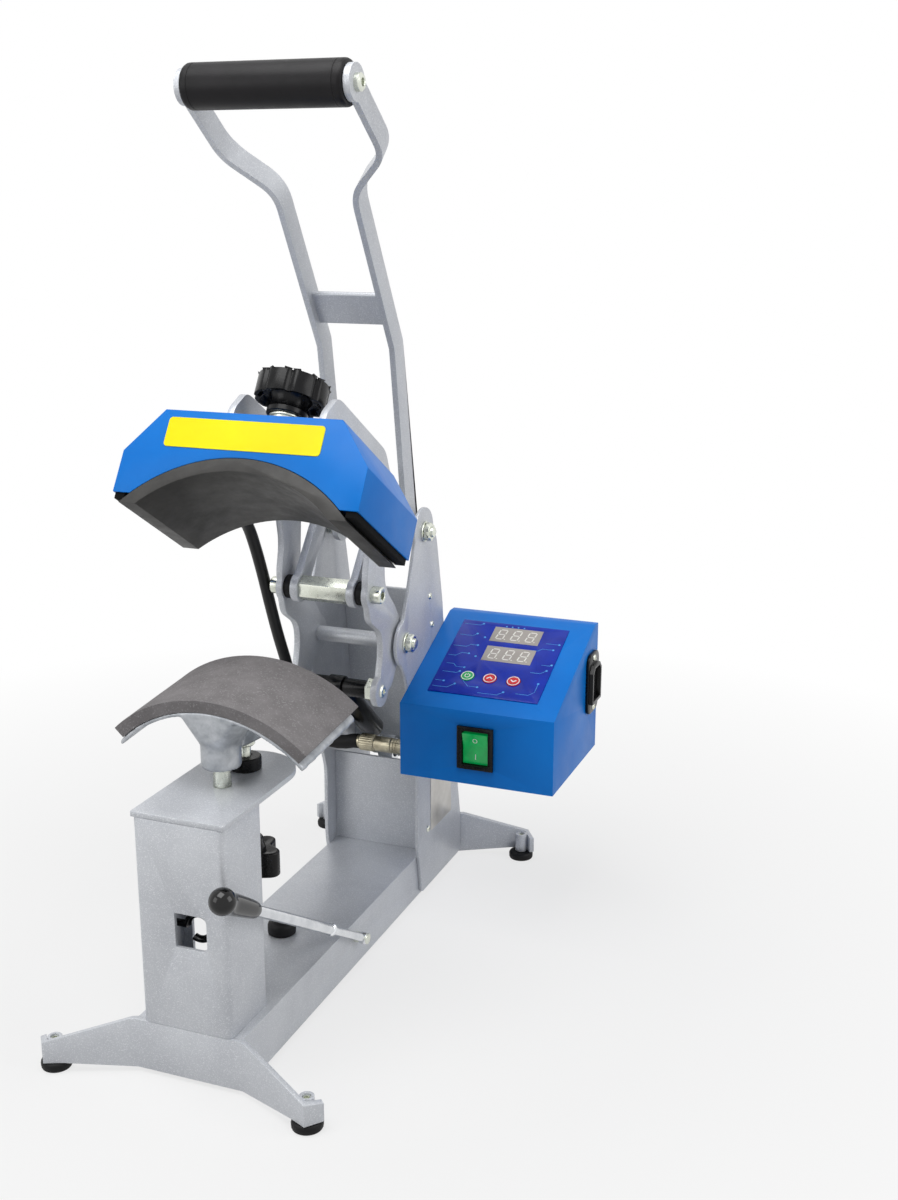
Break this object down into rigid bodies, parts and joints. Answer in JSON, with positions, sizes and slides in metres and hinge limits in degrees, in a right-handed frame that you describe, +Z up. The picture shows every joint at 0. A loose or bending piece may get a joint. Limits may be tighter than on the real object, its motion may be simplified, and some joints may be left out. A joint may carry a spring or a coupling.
{
  "type": "cap heat press",
  "caption": "Hand-operated clamshell press: a curved heated head on a toggle arm closes onto a curved padded platen, with a side control box.",
  "frame": {"origin": "on the floor, under the middle of the object's bounding box", "axes": "+Z up, +X towards the control box, +Y from the platen's front towards the column at the back"},
  "size_m": [0.278, 0.452, 0.6507],
  "materials": {
    "silver_paint": "silver-grey powder coat, fine metallic",
    "blue_paint": "blue powder coat, fine texture",
    "zinc_steel": "bright zinc-plated steel",
    "cast_aluminium": "tumbled aluminium casting",
    "element_face": "dark anti-stick coating on aluminium",
    "pad_rubber": "grey silicone sponge",
    "black_rubber": "black moulded rubber",
    "black_plastic": "black moulded plastic",
    "gloss_black": "glossy black phenolic",
    "yellow_film": "plain yellow film",
    "insulation": "black insulation board",
    "panel_film": "dark blue polyester film",
    "display_lens": "grey display lens",
    "green_lens": "green translucent plastic",
    "key_green": "green key",
    "key_red": "red key",
    "brass_nickel": "dull nickel over brass",
    "board": "green fibreglass board",
    "bare_plate": "plain anodised plate"
  },
  "bodies": {
    "frame": {"base_beam": "silver_paint", "front_foot_bar": "silver_paint", "rear_foot_bar": "silver_paint", "rubber_feet": "black_rubber", "post_tube": "silver_paint", "post_deck": "silver_paint", "post_hook": "gloss_black", "rubber_bumper": "black_rubber", "column_plate_left": "silver_paint", "column_plate_right": "silver_paint", "column_back_cover": "silver_paint", "pivot_shafts": "zinc_steel", "shaft_nuts": "zinc_steel", "box_shell": "blue_paint", "box_cover": "blue_paint", "circuit_board": "board", "key_panel": "panel_film", "display_windows": "display_lens", "rocker_frame": "black_plastic", "power_inlet": "black_plastic", "heater_socket": "brass_nickel", "heater_plug": "brass_nickel", "rating_plate": "bare_plate", "platen_pin": "zinc_steel", "platen_screw": "zinc_steel", "platen_casting": "cast_aluminium", "platen_pad": "pad_rubber", "heater_cable": "black_rubber"},
    "ring_nut": {"ring_nut": "black_plastic"},
    "star_knob": {"star_knob": "black_plastic"},
    "side_lever": {"lever_rod": "zinc_steel", "lever_knob": "gloss_black", "lever_shaft": "zinc_steel"},
    "arm": {"arm_plate_left": "silver_paint", "arm_plate_right": "silver_paint", "hex_spacer": "zinc_steel", "joint_bolts": "zinc_steel", "link_bushings": "black_rubber", "hinge_tube": "silver_paint", "spring_bar": "black_plastic", "head_bridge": "silver_paint"},
    "links": {"toggle_links": "silver_paint", "link_pin": "zinc_steel"},
    "handle": {"handle_bars": "silver_paint", "handle_brace": "silver_paint", "handle_grip": "black_rubber", "grip_fixings": "zinc_steel"},
    "head": {"head_hood": "blue_paint", "side_insulation": "insulation", "heating_element": "element_face", "head_carrier": "zinc_steel", "front_plate": "yellow_film"},
    "pressure_knob": {"pressure_knob": "black_plastic", "pressure_screw": "zinc_steel"},
    "gas_cylinder": {"gas_cylinder": "gloss_black"},
    "gas_rod": {"gas_rod": "zinc_steel"},
    "rocker": {"rocker": "green_lens"},
    "key_start": {"key_start": "key_green"},
    "key_up": {"key_up": "key_red"},
    "key_down": {"key_down": "key_red"}
  },
  "joints": [
    {"name": "handle_turn", "type": "hinge", "parent": "frame", "child": "handle", "pos_m": [-0.03285, 0.11939, 0.312], "axis": [1, 0, 0], "range_deg": [0, 71.4]},
    {"name": "arm_swing", "type": "hinge", "parent": "frame", "child": "arm", "pos_m": [-0.03285, 0.08079, 0.2316], "axis": [1, 0, 0], "range_deg": [-0.5, 37.5], "deforming": ["heater_cable"]},
    {"name": "link_swing", "type": "hinge", "parent": "arm", "child": "links", "pos_m": [-0.03285, 0.03039, 0.2825], "axis": [1, 0, 0], "range_deg": [-55.12, 0.5]},
    {"name": "gas_tilt", "type": "hinge", "parent": "arm", "child": "gas_cylinder", "pos_m": [-0.03285, 0.04489, 0.2025], "axis": [1, 0, 0], "range_deg": [-39.99, 0.5]},
    {"name": "gas_stroke", "type": "slide", "parent": "gas_cylinder", "child": "gas_rod", "axis": [0, -0.7535, 0.6574], "range_m": [-0.0002, 0.0291]},
    {"name": "knob_turn", "type": "hinge", "parent": "head", "child": "pressure_knob", "pos_m": [-0.03285, -0.02133, 0.42844], "axis": [0, 0.5299, 0.848], "range_deg": [-1, 721]},
    {"name": "head_travel", "type": "slide", "parent": "arm", "child": "head", "axis": [0, 0.5299, 0.848], "range_m": [0, 0.003]},
    {"name": "star_turn", "type": "hinge", "parent": "frame", "child": "star_knob", "pos_m": [-0.03285, -0.10141, 0.115], "axis": [0, 0, 1], "continuous": true},
    {"name": "ring_turn", "type": "hinge", "parent": "frame", "child": "ring_nut", "pos_m": [-0.03285, -0.10141, 0.194], "axis": [0, 0, 1], "continuous": true},
    {"name": "lever_turn", "type": "hinge", "parent": "frame", "child": "side_lever", "pos_m": [-0.03285, -0.01411, 0.026], "axis": [1, 0, 0], "range_deg": [0, 22]},
    {"name": "rocker_tilt", "type": "hinge", "parent": "frame", "child": "rocker", "pos_m": [0.07235, 0.07079, 0.1578], "axis": [1, 0, 0], "range_deg": [-14, 0]},
    {"name": "key_start_press", "type": "slide", "parent": "frame", "child": "key_start", "axis": [0, 0.3954, -0.9185], "range_m": [0, 0.0006], "stiffness_N_per_m": 400, "springref_m": -0.0005},
    {"name": "key_up_press", "type": "slide", "parent": "frame", "child": "key_up", "axis": [0, 0.3954, -0.9185], "range_m": [0, 0.0006], "stiffness_N_per_m": 400, "springref_m": -0.0005},
    {"name": "key_down_press", "type": "slide", "parent": "frame", "child": "key_down", "axis": [0, 0.3954, -0.9185], "range_m": [0, 0.0006], "stiffness_N_per_m": 400, "springref_m": -0.0005}
  ],
  "couplings": [
    {"joint": "arm_swing", "follows": "handle_turn", "ratio": 0.51821},
    {"joint": "link_swing", "follows": "handle_turn", "ratio": -0.76491},
    {"joint": "gas_tilt", "follows": "handle_turn", "ratio": -0.55313},
    {"joint": "gas_stroke", "follows": "handle_turn", "m_per_rad": 0.02319},
    {"joint": "knob_turn", "follows": "head_travel", "rad_per_m": 4188.8}
  ]
}
